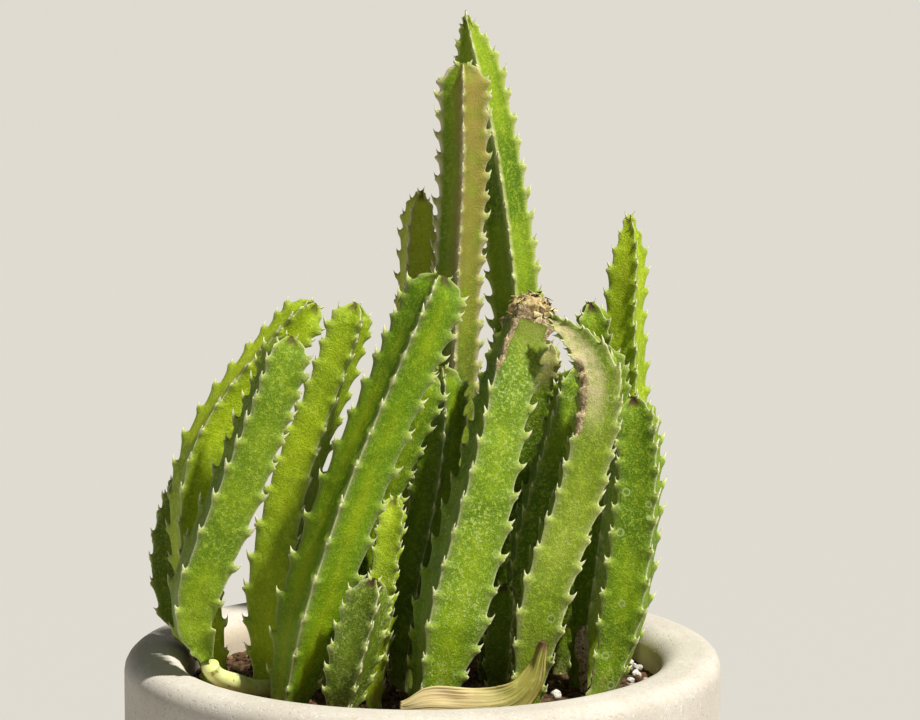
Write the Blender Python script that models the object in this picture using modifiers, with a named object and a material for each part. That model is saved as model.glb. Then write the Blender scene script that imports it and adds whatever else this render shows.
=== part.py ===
"""A clump of four-angled carrion-plant stems (Stapelia) in a thick round pot.

Metres, +Z up. The origin is the centre of the pot's underside; +X is to the plant's
right and +Y to its back, so the plant is seen from -Y.
"""

from collections import namedtuple
from math import cos, pi, radians, sin

import bmesh
import bpy
from mathutils import Matrix, Vector

# Pot
POT_DIAMETER = 0.240
POT_HEIGHT = 0.200
POT_WALL = 0.025
POT_FLOOR = 0.022
RIM_OUTER_ROUNDING = 0.007
RIM_INNER_ROUNDING = 0.010
FOOT_ROUNDING = 0.004
FLOOR_FILLET = 0.010
DRAIN_HOLE_DIAMETER = 0.020
TURNED_STEPS = 64

# Soil
SOIL_BELOW_RIM = 0.014
SOIL_EDGE_DROP = 0.0015
SOIL_EDGE_WIDTH = 0.006

# Stems
GAP = 0.0004
ROOT_DEPTH = 0.010
COLLAR_HEIGHT = 0.0035
FOOT_SHARE = 0.55
SWELL_LENGTH = 0.034
GIRTH_START = 0.2
GIRTH_END = 0.9
TIP_POWER = 1.6
TIP_RADIUS = 0.0012
VALLEY_SHARE = 0.66
SOCKET_SIDES = 12

# Small pieces
RUNNER_RADIUS = 0.0036
STUMP_RADIUS = 0.0024
STUMP_HEIGHT = 0.027
LEAF_THICKNESS = 0.0009
GRAIN_RADIUS = 0.0019

# Worked out from the sizes above
POT_RADIUS = POT_DIAMETER / 2
OPENING_RADIUS = POT_RADIUS - POT_WALL
SOIL_LEVEL = POT_HEIGHT - SOIL_BELOW_RIM
SOIL_RADIUS = OPENING_RADIUS - GAP

# A stem stands at foot = (x, y) and passes through its route's points to its tip. Plan
# positions and girths are in hundredths of the opening's radius, so the clump keeps its
# place in the pot; heights are in millimetres above the rim. Girth is the ribs' radius from
# low down to near the tip; turn swings the front rib to the right, in degrees; tip is how
# far from its end the stem starts to narrow, in millimetres.
Stem = namedtuple("Stem", "name girth turn foot route tip", defaults=(9,))

STEMS = (
    Stem("stem_left_rear", (10.7, 9.5), -25, (-88, -5),
         ((-97, -10, 45), (-93, -10, 81), (-74, -6, 110), (-44, 0, 141))),
    Stem("stem_left_low", (8.9, 8.4), -45, (-87, 13),
         ((-102, 12, 8), (-109, 12, 25), (-107, 12, 51), (-98, 12, 70))),
    Stem("stem_left_inner", (13.7, 9.5), 25, (-64, -19),
         ((-61, -19, 32), (-51, -19, 79), (-38, -17, 112), (-27, -13, 143.5))),
    Stem("stem_front_left", (14.7, 12.6), -12, (-55, -53),
         ((-44, -54, 31), (-28, -53, 76), (-13, -49, 110), (9.5, -42, 158.5))),
    Stem("stem_front_left_rear", (10.5, 9.5), -10, (-37, -21),
         ((-26, -23, 45), (-12, -24, 83), (3, -23, 118))),
    Stem("stem_centre_inner", (10.3, 9.5), 8, (-8, -8),
         ((-4, -7, 26), (4, -5, 62), (8, -3, 90), (8, -3, 116.5))),
    Stem("stem_centre_tall", (10.5, 10.1), 0, (11, 21),
         ((11, 23, 32), (14, 27, 133), (17, 28, 190), (17, 28, 234.5))),
    Stem("stem_rear_small", (8.4, 8.2), -28, (-9, 44),
         ((-7, 46, 73), (-3, 48, 147), (-1, 48, 180.5)), 14),
    Stem("stem_rear_tallest", (10.9, 10.1), 0, (38, 46),
         ((41, 48, 94), (39, 51, 142), (31, 54, 197), (18, 54, 251.5)), 28),
    Stem("stem_front_centre", (18.0, 15.6, 13.0, 12.0), -30, (4, -56),
         ((13, -50, 29), (24, -44, 67), (32, -36, 98), (36, -28, 116), (48, -13, 145))),
    Stem("stem_centre_right", (10.0, 8.9), 45, (28, 13),
         ((34, 13, 42), (45, 11, 79), (49, 8, 106), (53, 6, 125.5))),
    Stem("stem_inner_right", (10.0, 8.9), -40, (39, -4),
         ((46, -13, 49), (56, -17, 84), (66, -13, 118))),
    Stem("stem_front_right_bent", (13.5, 11.6), 45, (43, -57),
         ((51, -54, 35), (64, -48, 70), (72, -44, 101), (74, -42, 116), (68, -40, 129),
          (52, -36, 141.5)), 34),
    Stem("stem_rear_right_short", (8.4, 8.4), 45, (59, 21),
         ((65, 20, 28), (72, 19, 82), (73, 19, 121), (71, 19, 139))),
    Stem("stem_right_inner", (8.4, 7.9), -5, (67, 1),
         ((75, -1, 46), (79, -3, 91), (76, -4, 125.5))),
    Stem("stem_rear_right_tall", (10.5, 8.9), 23, (82, 32),
         ((87, 36, 95), (86, 38, 132), (88, 38, 156), (88, 38, 172)), 26),
    Stem("stem_far_right", (12.8, 11.1), 35, (75, -34),
         ((82, -29, 10), (88, -25, 46), (91, -21, 79), (88, -17, 106.5))),
    Stem("stem_front_small", (11.2, 9.5), 20, (-33, -69),
         ((-28, -69, 12), (-23, -67, 29), (-19, -65, 43))),
    Stem("stem_front_short", (7.6, 6.8), 40, (-20, -44),
         ((-17, -44, 30), (-11, -40, 71))),
    Stem("stem_shaded_short", (7.9, 7.4), 30, (32, -33),
         ((33, -32, 10), (35, -29, 34))),
)

# The arched stem at the left grows from the runner and clears the rim, so its foot has a
# height too.
ARCHED_STEM = Stem("stem_left_arched", (13.6, 11.8), -34, (-89, -48, 5.2),
                   ((-94, -48, 15.5), (-94.5, -48, 31), (-79, -47, 68), (-62, -44, 109),
                    (-53, -40, 134.5)))

# The runner leaves the inner left stem's foot and ends under the arched stem. Heights here
# are the runner's underside in millimetres above the soil.
RUNNER_ROUTE = ((-67, -29, 0.4), (-71, -34, 1.6), (-77, -39, 5.0))

# The dried leaf stands on its edge against the front stems. Its heights are the blade's
# middle above the soil, and it has a half-width at each, all in millimetres.
LEAF_ROUTE = ((-9, -78, 7.0), (6, -81, 9.0), (20, -81, 8.4), (36, -80, 10.0),
              (45, -78, 18.5), (50, -76, 34.0))
LEAF_HALF_WIDTHS = (4.8, 7.6, 7.4, 6.6, 4.6, 1.0)
LEAF_STEPS = 4

STUMP_FOOT = (68, -14)
GRAIN_PLACES = ((91, 6), (88, -6), (90, 15), (56, -34), (20, 74), (-16, 72), (60, 62),
                (-52, 60))

SURFACES = {
    "stone": ((0.70, 0.65, 0.56), 0.85),
    "soil": ((0.10, 0.06, 0.035), 0.95),
    "stem": ((0.16, 0.32, 0.04), 0.55),
    "runner": ((0.62, 0.68, 0.20), 0.5),
    "leaf": ((0.42, 0.34, 0.12), 0.7),
    "dead": ((0.40, 0.33, 0.26), 0.9),
    "perlite": ((0.78, 0.76, 0.70), 0.9),
}


def clear_scene():
    for obj in list(bpy.data.objects):
        bpy.data.objects.remove(obj, do_unlink=True)


def make_collection(name):
    collection = bpy.data.collections.new(name)
    bpy.context.scene.collection.children.link(collection)
    return collection


def make_material(name, color, roughness):
    material = bpy.data.materials.new(name)
    material.use_nodes = True
    shader = material.node_tree.nodes["Principled BSDF"]
    shader.inputs["Base Color"].default_value = (*color, 1.0)
    shader.inputs["Roughness"].default_value = roughness
    shader.inputs["Metallic"].default_value = 0.0
    return material


def add_object(name, data, surface, collection):
    obj = bpy.data.objects.new(name, data)
    collection.objects.link(obj)
    color, roughness = SURFACES[surface]
    data.materials.append(make_material(name, color, roughness))
    return obj


def plan_point(x, y, height, level=POT_HEIGHT):
    """A point of the clump: x and y in hundredths of the opening, height in mm above a level."""
    scale = OPENING_RADIUS / 100
    return Vector((x * scale, y * scale, level + height / 1000))


def arc(center_r, center_z, radius, start, end, count):
    """Profile points on an arc, its angles in degrees from +X."""
    steps = (start + (end - start) * i / count for i in range(count + 1))
    return [(center_r + radius * cos(radians(a)), center_z + radius * sin(radians(a)))
            for a in steps]


def turned(name, profile, surface, collection, closed=True):
    """Turns a profile of (radius, height) about Z, down its outer side from the top."""
    mesh = bpy.data.meshes.new(name)
    count = len(profile)
    edges = [(i, i + 1) for i in range(count - 1)]
    if closed:
        edges.append((count - 1, 0))
    mesh.from_pydata([(r, 0, z) for r, z in profile], edges, [])
    obj = add_object(name, mesh, surface, collection)
    screw = obj.modifiers.new("Turn", "SCREW")
    screw.steps = TURNED_STEPS
    screw.render_steps = TURNED_STEPS
    screw.use_merge_vertices = True
    screw.merge_threshold = 0.00001
    screw.use_smooth_shade = True
    return obj


def make_pot(collection):
    lip_out = arc(POT_RADIUS - RIM_OUTER_ROUNDING, POT_HEIGHT - RIM_OUTER_ROUNDING,
                  RIM_OUTER_ROUNDING, 90, 0, 5)
    foot = arc(POT_RADIUS - FOOT_ROUNDING, FOOT_ROUNDING, FOOT_ROUNDING, 0, -90, 3)
    drain = [(DRAIN_HOLE_DIAMETER / 2, 0), (DRAIN_HOLE_DIAMETER / 2, POT_FLOOR)]
    floor = arc(OPENING_RADIUS - FLOOR_FILLET, POT_FLOOR + FLOOR_FILLET, FLOOR_FILLET, -90, 0, 4)
    lip_in = arc(OPENING_RADIUS + RIM_INNER_ROUNDING, POT_HEIGHT - RIM_INNER_ROUNDING,
                 RIM_INNER_ROUNDING, 180, 90, 6)
    return turned("pot", lip_out + foot + drain + floor + lip_in, "stone", collection)


def make_soil(collection, cutters, feet):
    bottom = POT_FLOOR + GAP
    corner = FLOOR_FILLET + GAP
    top = [(0, SOIL_LEVEL), (SOIL_RADIUS - SOIL_EDGE_WIDTH, SOIL_LEVEL),
           (SOIL_RADIUS, SOIL_LEVEL - SOIL_EDGE_DROP)]
    side = [(SOIL_RADIUS, bottom + corner), (SOIL_RADIUS - corner, bottom), (0, bottom)]
    soil = turned("soil", top + side, "soil", collection, closed=False)

    mesh = bpy.data.meshes.new("root_sockets")
    shape = bmesh.new()
    for center, radius in feet:
        depth = 2 * (ROOT_DEPTH + GAP)
        bmesh.ops.create_cone(shape, cap_ends=True, segments=SOCKET_SIDES, depth=depth,
                              radius1=radius, radius2=radius,
                              matrix=Matrix.Translation((center.x, center.y, SOIL_LEVEL)))
    shape.to_mesh(mesh)
    shape.free()
    sockets = bpy.data.objects.new("root_sockets", mesh)
    sockets.hide_render = True
    sockets.display_type = "WIRE"
    cutters.objects.link(sockets)
    cut = soil.modifiers.new("Sockets", "BOOLEAN")
    cut.operation = "DIFFERENCE"
    cut.object = sockets
    return soil


def smooth_route(points, share):
    """The point at a share, 0 to 1, of a smooth curve through all points but the first."""
    spans = len(points) - 2
    place = min(share * spans, spans - 1e-9)
    i = int(place) + 1
    t = place - int(place)
    before, start, end = points[i - 1], points[i], points[i + 1]
    after = points[i + 2] if i + 2 < len(points) else end + (end - start)
    return 0.5 * ((2 * start) + (end - before) * t
                  + (2 * before - 5 * start + 4 * end - after) * t ** 2
                  + (3 * start - before - 3 * end + after) * t ** 3)


def clamped_share(low, high, value):
    return min(max((value - low) / (high - low), 0.0), 1.0)


def smooth_step(low, high, value):
    t = clamped_share(low, high, value)
    return t * t * (3 - 2 * t)


def girth_radius(girth):
    return girth * OPENING_RADIUS / 100


def stem_radius(stem, from_foot, length):
    """The ribs' radius at a distance from the foot of a stem of this length."""
    spans = len(stem.girth) - 1
    place = clamped_share(GIRTH_START, GIRTH_END, from_foot / length) * spans
    i = min(int(place), spans - 1)
    low, high = girth_radius(stem.girth[i]), girth_radius(stem.girth[i + 1])
    radius = low + (high - low) * smooth_step(0.0, 1.0, place - i)
    swell = min(SWELL_LENGTH, length / 3)
    radius *= FOOT_SHARE + (1 - FOOT_SHARE) * smooth_step(0.0, swell, from_foot)
    share = min((length - from_foot) / (stem.tip / 1000), 1.0)
    return max(radius * (1 - (1 - share) ** TIP_POWER), TIP_RADIUS)


def rib_profile(collection):
    """The stems' cross-section at unit size: four ribs with shallow valleys between."""
    curve = bpy.data.curves.new("rib_profile", "CURVE")
    spline = curve.splines.new("POLY")
    spline.points.add(7)
    for i, point in enumerate(spline.points):
        size = 1.0 if i % 2 == 0 else VALLEY_SHARE
        angle = -i * pi / 4
        point.co = (size * cos(angle), size * sin(angle), 0, 1)
    spline.use_cyclic_u = True
    profile = bpy.data.objects.new("rib_profile", curve)
    profile.hide_render = True
    profile.display_type = "WIRE"
    collection.objects.link(profile)
    return profile


def swept(name, points, radii, turn, profile, surface, collection):
    """A poly curve with the profile swept along it, its size and turn set at each point."""
    curve = bpy.data.curves.new(name, "CURVE")
    curve.dimensions = "3D"
    curve.twist_mode = "MINIMUM"
    curve.bevel_mode = "OBJECT"
    curve.bevel_object = profile
    curve.use_fill_caps = True
    spline = curve.splines.new("POLY")
    spline.points.add(len(points) - 1)
    for point, place, radius in zip(spline.points, points, radii):
        point.co = (*place, 1)
        point.radius = radius
        point.tilt = radians(turn)
    return add_object(name, curve, surface, collection)


def make_stem(stem, profile, collection):
    """Returns the foot's place and radius for its socket, or None for an unrooted stem."""
    rooted = len(stem.foot) == 2
    if rooted:
        collar = plan_point(*stem.foot, 0)
        collar.z = SOIL_LEVEL + COLLAR_HEIGHT
        root = Vector((collar.x, collar.y, SOIL_LEVEL - ROOT_DEPTH))
    else:
        collar = plan_point(*stem.foot)
        root = collar - (plan_point(*stem.route[0]) - collar)
    route = [root, collar] + [plan_point(*place) for place in stem.route]
    dense = [smooth_route(route, i / 200) for i in range(201)]
    walked = [0.0]
    for a, b in zip(dense, dense[1:]):
        walked.append(walked[-1] + (b - a).length)
    length = walked[-1]

    tip_length = stem.tip / 1000
    body = length - tip_length
    body_steps = max(4, round(body / 0.016))
    stations = [body * i / body_steps for i in range(body_steps + 1)]
    shares = (0.8, 0.6, 0.4, 0.2, 0.08, 0.0) if stem.tip > 20 else (0.65, 0.35, 0.15, 0.0)
    stations += [length - tip_length * share for share in shares]
    points, radii = [], []
    if rooted:
        points.append(root)
        radii.append(girth_radius(stem.girth[0]) * FOOT_SHARE)
    for station in stations:
        i = next(n for n, far in enumerate(walked) if far >= station - 1e-9)
        points.append(dense[i])
        radii.append(stem_radius(stem, station, length))
    swept(stem.name, points, radii, stem.turn, profile, "stem", collection)
    socket_radius = (radii[0] + GAP) / cos(pi / SOCKET_SIDES)
    return (collar, socket_radius) if rooted else None


def make_tube(name, points, radius, surface, collection):
    curve = bpy.data.curves.new(name, "CURVE")
    curve.dimensions = "3D"
    curve.bevel_depth = radius
    curve.bevel_resolution = 2
    curve.use_fill_caps = True
    spline = curve.splines.new("POLY")
    spline.points.add(len(points) - 1)
    for point, place in zip(spline.points, points):
        point.co = (*place, 1)
    return add_object(name, curve, surface, collection)


def make_runner(collection):
    """A pale shoot along the soil that ends square under the arched stem's foot."""
    foot = plan_point(*ARCHED_STEM.foot)
    upward = (plan_point(*ARCHED_STEM.route[0]) - foot).normalized()
    route = [plan_point(*place, SOIL_LEVEL + RUNNER_RADIUS) for place in RUNNER_ROUTE]
    route += [foot - upward * 0.006, foot - upward * 0.001]
    ahead = [route[0] * 2 - route[1]] + route
    points = [smooth_route(ahead, i / 12) for i in range(12)] + [route[-1]]
    return make_tube("pale_runner", points, RUNNER_RADIUS, "runner", collection)


def make_stump(collection):
    """What is left of a dead stem, standing in its own socket in the soil."""
    collar = plan_point(*STUMP_FOOT, 0)
    foot = Vector((collar.x, collar.y, SOIL_LEVEL - ROOT_DEPTH))
    top = Vector((collar.x - STUMP_RADIUS / 2, collar.y, SOIL_LEVEL + STUMP_HEIGHT))
    middle = Vector((collar.x, collar.y, SOIL_LEVEL + COLLAR_HEIGHT))
    make_tube("dead_stump", [foot, middle, top], STUMP_RADIUS, "dead", collection)
    return middle, (STUMP_RADIUS + GAP) / cos(pi / SOCKET_SIDES)


def make_leaf(collection):
    """A thin blade along the leaf's route, thickened by Solidify."""
    route = [plan_point(*place, SOIL_LEVEL) for place in LEAF_ROUTE]
    ahead = [route[0] * 2 - route[1]] + route
    spans = len(LEAF_HALF_WIDTHS) - 1
    count = spans * LEAF_STEPS
    shape = bmesh.new()
    rows = []
    for i in range(count + 1):
        share = i / count
        center = smooth_route(ahead, share)
        along = smooth_route(ahead, min(share + 0.01, 1.0)) - smooth_route(ahead, share - 0.01
                                                                           if share > 0.01 else 0.0)
        place = min(share * spans, spans - 1e-9)
        low, high = LEAF_HALF_WIDTHS[int(place)], LEAF_HALF_WIDTHS[int(place) + 1]
        half = (low + (high - low) * (place - int(place))) / 1000
        across = Vector((0, -1, 0)).cross(along.normalized()).normalized()
        across = (across + Vector((0, 0.25, 0))).normalized()
        rows.append([shape.verts.new(center + across * half * side) for side in (-1, 0, 1)])
    for a, b in zip(rows, rows[1:]):
        for k in (0, 1):
            shape.faces.new((a[k], a[k + 1], b[k + 1], b[k]))
    mesh = bpy.data.meshes.new("dried_leaf")
    bmesh.ops.recalc_face_normals(shape, faces=shape.faces)
    shape.to_mesh(mesh)
    shape.free()
    leaf = add_object("dried_leaf", mesh, "leaf", collection)
    solidify = leaf.modifiers.new("Thickness", "SOLIDIFY")
    solidify.thickness = LEAF_THICKNESS
    solidify.offset = 0.0
    return leaf


def make_grains(collection):
    """Loose grains of perlite that lie on the soil."""
    for i, (x, y) in enumerate(GRAIN_PLACES):
        size = GRAIN_RADIUS * (0.8 + 0.4 * abs(sin(2.3 * i + 0.4)))
        shape = bmesh.new()
        bmesh.ops.create_icosphere(shape, subdivisions=1, radius=size)
        name = f"perlite_grain_{i + 1}"
        mesh = bpy.data.meshes.new(name)
        shape.to_mesh(mesh)
        shape.free()
        grain = add_object(name, mesh, "perlite", collection)
        grain.location = plan_point(x, y, 0)
        grain.location.z = SOIL_LEVEL + size + GAP
        grain.rotation_euler = (1.7 * i, 0.9 * i, 0.5 * i)


def main():
    clear_scene()
    parts = make_collection("potted_stapelia")
    helpers = make_collection("helpers")
    make_pot(parts)
    profile = rib_profile(helpers)
    feet = [make_stem(stem, profile, parts) for stem in STEMS]
    make_stem(ARCHED_STEM, profile, parts)
    feet.append(make_stump(parts))
    make_soil(parts, helpers, feet)
    make_runner(parts)
    make_leaf(parts)
    make_grains(parts)


main()
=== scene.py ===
"""The looks of a clump of carrion-plant stems in a stone pot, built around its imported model.

Each stem is measured from its CAD solid by slicing it across, then rebuilt with toothed
ribs. Metres, +Z up; the plant is seen from -Y.
"""

from collections import namedtuple
from math import cos, pi, radians, sin

import bmesh
import bpy
import numpy as np
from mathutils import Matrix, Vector, noise


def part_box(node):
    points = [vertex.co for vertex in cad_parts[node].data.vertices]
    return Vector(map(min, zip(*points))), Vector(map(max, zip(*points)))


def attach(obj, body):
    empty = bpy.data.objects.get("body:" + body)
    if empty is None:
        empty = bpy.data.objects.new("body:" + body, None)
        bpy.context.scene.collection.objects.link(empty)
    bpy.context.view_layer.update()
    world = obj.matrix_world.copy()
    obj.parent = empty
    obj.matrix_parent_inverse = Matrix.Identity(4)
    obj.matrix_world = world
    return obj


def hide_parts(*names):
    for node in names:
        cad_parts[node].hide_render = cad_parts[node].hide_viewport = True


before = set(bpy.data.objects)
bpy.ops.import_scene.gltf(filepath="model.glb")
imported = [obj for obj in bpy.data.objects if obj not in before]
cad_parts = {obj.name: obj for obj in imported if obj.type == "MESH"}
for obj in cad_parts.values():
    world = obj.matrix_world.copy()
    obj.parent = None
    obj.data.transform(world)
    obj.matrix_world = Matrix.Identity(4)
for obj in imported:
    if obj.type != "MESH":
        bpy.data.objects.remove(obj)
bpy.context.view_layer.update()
SOIL_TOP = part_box("soil")[1].z
RIM_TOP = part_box("pot")[1].z

RIBS = 4
VALLEY_ANGLE = 180 / RIBS
ROUND = 12  # folds that stand for a round section, which looks alike in every direction
CROWDED = 0.0027  # corners closer than this crowd together, as at a pointed tip
MOST_SLICES = 400


# ---------------------------------------------------------------- numbers and curves

def rgb(red, green, blue):
    """A colour given in 0 to 255 display values, as the linear colour that shaders use."""
    values = np.array([red, green, blue]) / 255
    linear = np.where(values < 0.04045, values / 12.92, ((values + 0.055) / 1.055) ** 2.4)
    return tuple(float(v) for v in linear)


def unit(vectors):
    return vectors / np.maximum(np.linalg.norm(vectors, axis=-1, keepdims=True), 1e-12)


def fade(low, high, values):
    """0 below low, 1 above high and smooth between; high may be the smaller."""
    share = np.clip((values - low) / (high - low), 0, 1)
    return share * share * (3 - 2 * share)


def rough(points, size, seed=0.0):
    """Smooth noise of about -1 to 1 at each point, with lumps of about this size."""
    scaled = np.asarray(points).reshape(-1, 3) / size + (seed * 7.31, seed * 3.17, seed * 5.93)
    values = np.array([noise.noise(p) for p in scaled.tolist()])
    return values.reshape(np.asarray(points).shape[:-1])


def smoothed(rows, width):
    """Rows averaged with their neighbours, carried on straight past both ends."""
    kernel = np.exp(-np.linspace(-2, 2, 2 * width + 1) ** 2)
    kernel /= kernel.sum()
    before = 2 * rows[0] - rows[width:0:-1]
    after = 2 * rows[-1] - rows[-2:-width - 2:-1]
    padded = np.concatenate([before, rows, after])
    columns = [np.convolve(padded[:, k], kernel, "valid") for k in range(rows.shape[1])]
    return np.stack(columns, axis=1)


def mesh_of(node):
    """The corners and the triangles of a CAD node."""
    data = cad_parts[node].data
    data.calc_loop_triangles()
    points = np.array([v.co for v in data.vertices], float)
    return points, np.array([t.vertices for t in data.loop_triangles])


def cut(points, faces, at, normal, reach):
    """The centre of the solid's section at a plane, and the section's farthest corner."""
    side = (points - at) @ normal
    sides = side[faces]
    hit = (sides.min(axis=1) < 0) & (sides.max(axis=1) >= 0)
    sides, corners = sides[hit], points[faces[hit]]
    ends = np.full((len(sides), 3, 3), np.nan)
    for k in range(3):
        a, b = sides[:, k], sides[:, (k + 1) % 3]
        crosses = (a < 0) != (b < 0)
        share = a[crosses] / (a[crosses] - b[crosses])
        start, end = corners[crosses, k], corners[crosses, (k + 1) % 3]
        ends[crosses, k] = start + (end - start) * share[:, None]
    lines = ends[~np.isnan(ends[:, :, 0])].reshape(-1, 2, 3)
    lines = lines[np.linalg.norm(lines.mean(axis=1) - at, axis=1) < reach]
    if not len(lines):
        return None
    lengths = np.linalg.norm(lines[:, 1] - lines[:, 0], axis=1) + 1e-9
    centre = (lines.mean(axis=1) * lengths[:, None]).sum(axis=0) / lengths.sum()
    arms = lines.reshape(-1, 3) - centre
    return centre, arms[np.argmax(np.linalg.norm(arms, axis=1))]


def tip_of(points, blunt):
    """The middle of a piece's tip, and the way down from it.

    The tip is where corners crowd together, or on a blunt piece its highest corners.
    """
    corners = np.unique(np.round(points, 6), axis=0)
    close = np.linalg.norm(corners[:, None] - corners[None], axis=2) < CROWDED
    crowd = corners[close[np.argmax(close.sum(axis=1) + 2 * corners[:, 2])]]
    if blunt:
        crowd = points[points[:, 2] > points[:, 2].max() - 0.0012]
    top = crowd.mean(axis=0)
    near = points[np.linalg.norm(points - top, axis=1) < 0.012].mean(axis=0)
    below = near if np.linalg.norm(near - top) > 0.0015 else points.mean(axis=0)
    return top, unit(below - top)


def spine(node, reach, folds=RIBS, step=0.0025):
    """Centres, half-widths and rib directions of a swept CAD solid, from foot to tip.

    Folds is in how many directions the section looks alike, so that one rib is followed.
    """
    points, faces = mesh_of(node)
    top, down = tip_of(points, folds == ROUND)
    at = top + down * 0.0006
    centres, arms = [], []
    while len(centres) < MOST_SLICES:
        found = cut(points, faces, at, down, reach)
        if found is None:
            break
        centre, arm = found
        arm = arm - down * (arm @ down)
        width = np.linalg.norm(arm)
        if arms:
            down = unit(down * 0.4 + unit(centre - centres[-1]) * 0.6)
            across = unit(arm)
            beside = np.cross(down, across)
            turns = [across * cos(2 * pi * k / folds) + beside * sin(2 * pi * k / folds)
                     for k in range(folds)]
            last = unit(arms[-1])
            arm = width * max(turns, key=lambda turn: turn @ last)
        centres.append(centre)
        arms.append(arm)
        at = centre + down * step
    centres, arms = np.array(centres[::-1]), np.array(arms[::-1])
    widths = np.linalg.norm(arms, axis=1)
    return smoothed(centres, 3), smoothed(widths[:, None], 1)[:, 0], smoothed(unit(arms), 3)


def resampled(centres, step, *others):
    """Centres and the rows that go with them, at even steps along the centres."""
    walked = np.concatenate([[0], np.cumsum(np.linalg.norm(np.diff(centres, axis=0), axis=1))])
    places = np.linspace(0, walked[-1], max(4, round(walked[-1] / step)))

    def along(rows):
        if rows.ndim == 1:
            return np.interp(places, walked, rows)
        return np.stack([np.interp(places, walked, rows[:, k]) for k in range(rows.shape[1])],
                        axis=1)

    return places, smoothed(along(centres), 3), *[along(rows) for rows in others]


def frames_along(centres, ribs):
    """At each centre: the way along, the rib's way out and the way beside it."""
    along = unit(np.gradient(centres, axis=0))
    out = unit(ribs - along * (ribs * along).sum(axis=1)[:, None])
    return along, out, np.cross(along, out)


def ways_around(out, beside, angles):
    """Unit vectors about each centre; the angles may be one row for all or one row each."""
    return out[:, None] * np.cos(angles)[..., None] + beside[:, None] * np.sin(angles)[..., None]


def even_angles(count):
    return 2 * pi * np.arange(count) / count


# ---------------------------------------------------------------- meshes

class Shape:
    """Points, faces, values at each point and a picture map, gathered from several pieces."""

    def __init__(self, *values):
        self.points = []
        self.faces = []
        self.map = []
        self.values = {name: [] for name in values}
        self.count = 0

    def add(self, points, faces, spots, **values):
        points = np.asarray(points, float).reshape(-1, 3)
        self.faces += [tuple(int(i) + self.count for i in face) for face in faces]
        self.points.append(points)
        self.map.append(np.broadcast_to(np.asarray(spots, float), (len(points), 2)))
        for name, rows in self.values.items():
            given = np.asarray(values.get(name, 0.0), float).ravel()
            rows.append(np.broadcast_to(given, len(points)))
        self.count += len(points)

    def build(self, name, mapped=True):
        mesh = bpy.data.meshes.new(name)
        points = np.concatenate(self.points)
        mesh.from_pydata(points.tolist(), [], self.faces)
        for value, rows in self.values.items():
            attribute = mesh.attributes.new(value, "FLOAT", "POINT")
            attribute.data.foreach_set("value", np.concatenate(rows).astype(np.float32))
        if mapped:
            layer = mesh.uv_layers.new(name="OFBake")
            corner = np.zeros(len(mesh.loops), np.int32)
            mesh.loops.foreach_get("vertex_index", corner)
            layer.data.foreach_set("uv", np.concatenate(self.map)[corner].ravel())
        mesh.shade_smooth()
        obj = bpy.data.objects.new(name, mesh)
        bpy.context.scene.collection.objects.link(obj)
        return obj


def grid_faces(rows, columns, wrapped=True):
    """Squares between rows of points; wrapped joins each row's last point to its first."""
    faces = []
    for i in range(rows - 1):
        for j in range(columns if wrapped else columns - 1):
            k = (j + 1) % columns
            faces.append((i * columns + j, i * columns + k, (i + 1) * columns + k,
                          (i + 1) * columns + j))
    return faces


def fan(first, count, tip, flipped=False):
    """Triangles that close the ring of points numbered from first on, at the point tip."""
    here, there = (1, 0) if flipped else (0, 1)
    return [(first + (k + here) % count, first + (k + there) % count, tip)
            for k in range(count)]


def place(obj, material, slot, *nodes):
    """Gives a piece its material and hides the CAD nodes that it stands for; the slot is not used."""
    obj.data.materials.append(material)
    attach(obj, "root")
    if nodes:
        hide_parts(*nodes)


# ---------------------------------------------------------------- materials

# The sockets of a Mix node that mixes colours
COLOR_A, COLOR_B, MIXED_COLOR = 6, 7, 2


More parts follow.
